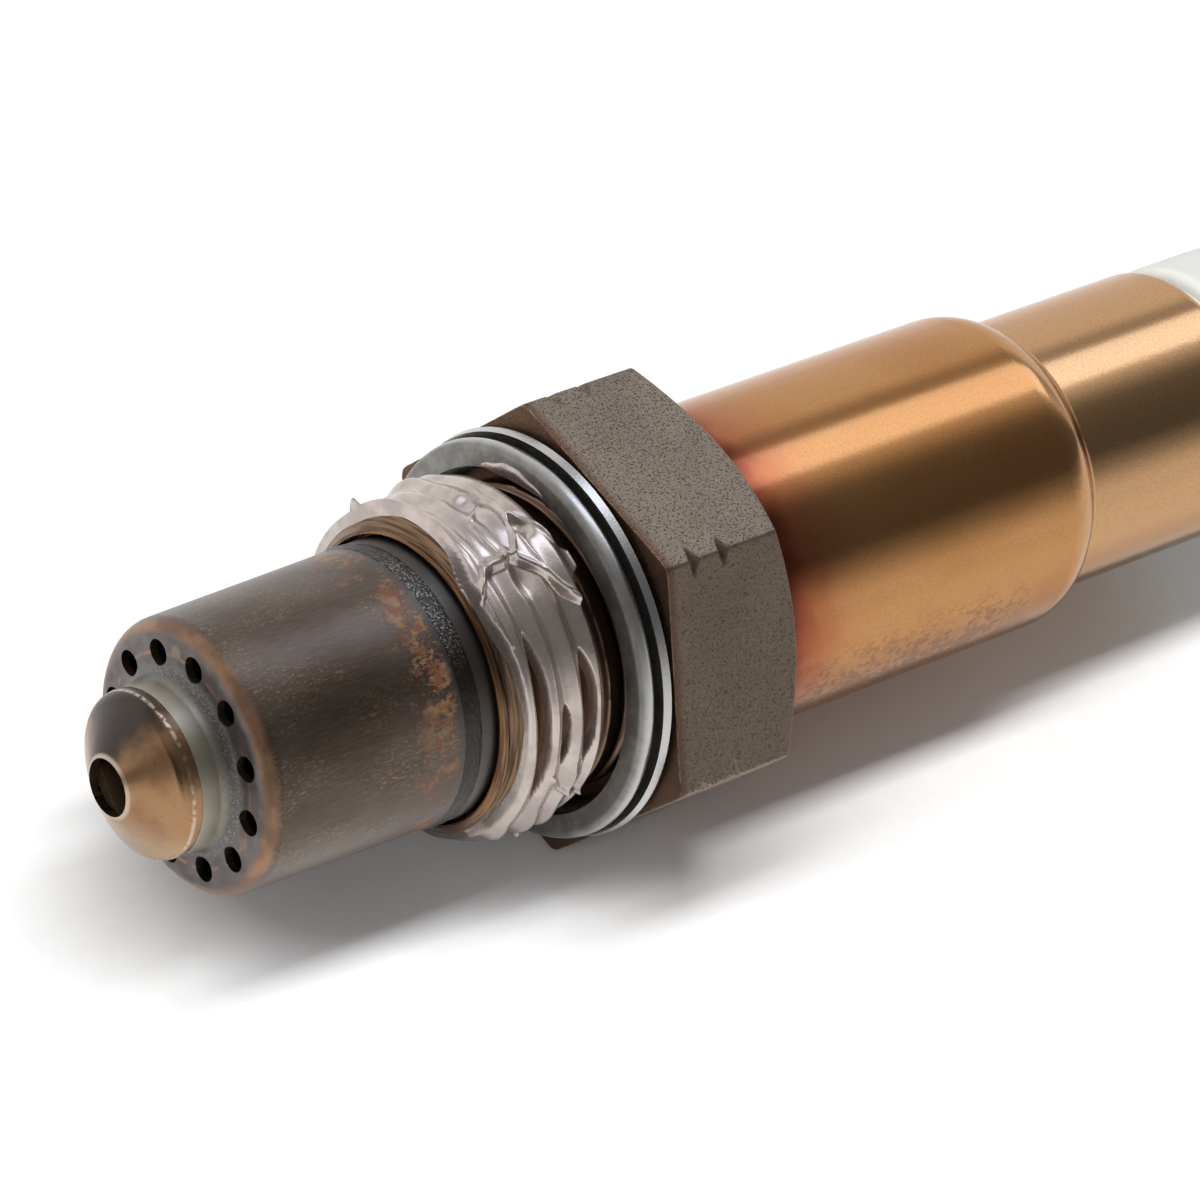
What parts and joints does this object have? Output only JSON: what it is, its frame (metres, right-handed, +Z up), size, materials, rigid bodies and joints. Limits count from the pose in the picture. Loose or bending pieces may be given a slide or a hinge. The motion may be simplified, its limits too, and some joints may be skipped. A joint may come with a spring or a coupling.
{
  "type": "oxygen sensor",
  "caption": "Threaded exhaust-gas oxygen sensor with a perforated protection tube, coned nose, captive gasket ring, hexagon, stepped steel sleeve and hose outlet, without its cable.",
  "frame": {"origin": "on the sensor's axis, in the plane of the gasket ring's front sealing face, where the threaded shank begins", "axes": "+X along the axis towards the cable end, the hot tip points along -X, +Z up with a hexagon flat facing down"},
  "size_m": [0.09, 0.0254, 0.0224],
  "materials": {
    "tube_steel": "heat-tinted brown-grey drawn stainless steel",
    "nose_steel": "heat-tinted golden stainless steel",
    "housing_steel": "dull grey-brown turned stainless steel",
    "gasket_steel": "bright folded stainless sheet",
    "element_ceramic": "white zirconia",
    "bush_ceramic": "unglazed technical ceramic",
    "talc": "packed talc powder",
    "sleeve_steel": "straw-tinted smooth drawn stainless steel",
    "contact_steel": "nickel-plated spring steel",
    "grommet_rubber": "black fluoro rubber",
    "hose_fluoropolymer": "pale fluoropolymer"
  },
  "bodies": {
    "root": {"outer_protection_tube": "tube_steel", "inner_protection_tube": "nose_steel", "sensor_housing": "housing_steel", "gasket_ring": "gasket_steel", "sensor_element": "element_ceramic", "front_ceramic_bush": "bush_ceramic", "talc_seal": "talc", "rear_ceramic_bush": "bush_ceramic", "retaining_ring": "housing_steel", "protective_sleeve": "sleeve_steel", "contact_holder_upper": "bush_ceramic", "contact_holder_lower": "bush_ceramic", "contact_clip_1": "contact_steel", "contact_clip_2": "contact_steel", "contact_clip_3": "contact_steel", "contact_clip_4": "contact_steel", "contact_clip_5": "contact_steel", "holder_clamp_spring": "contact_steel", "cable_grommet": "grommet_rubber", "shaped_hose": "hose_fluoropolymer"}
  },
  "joints": []
}
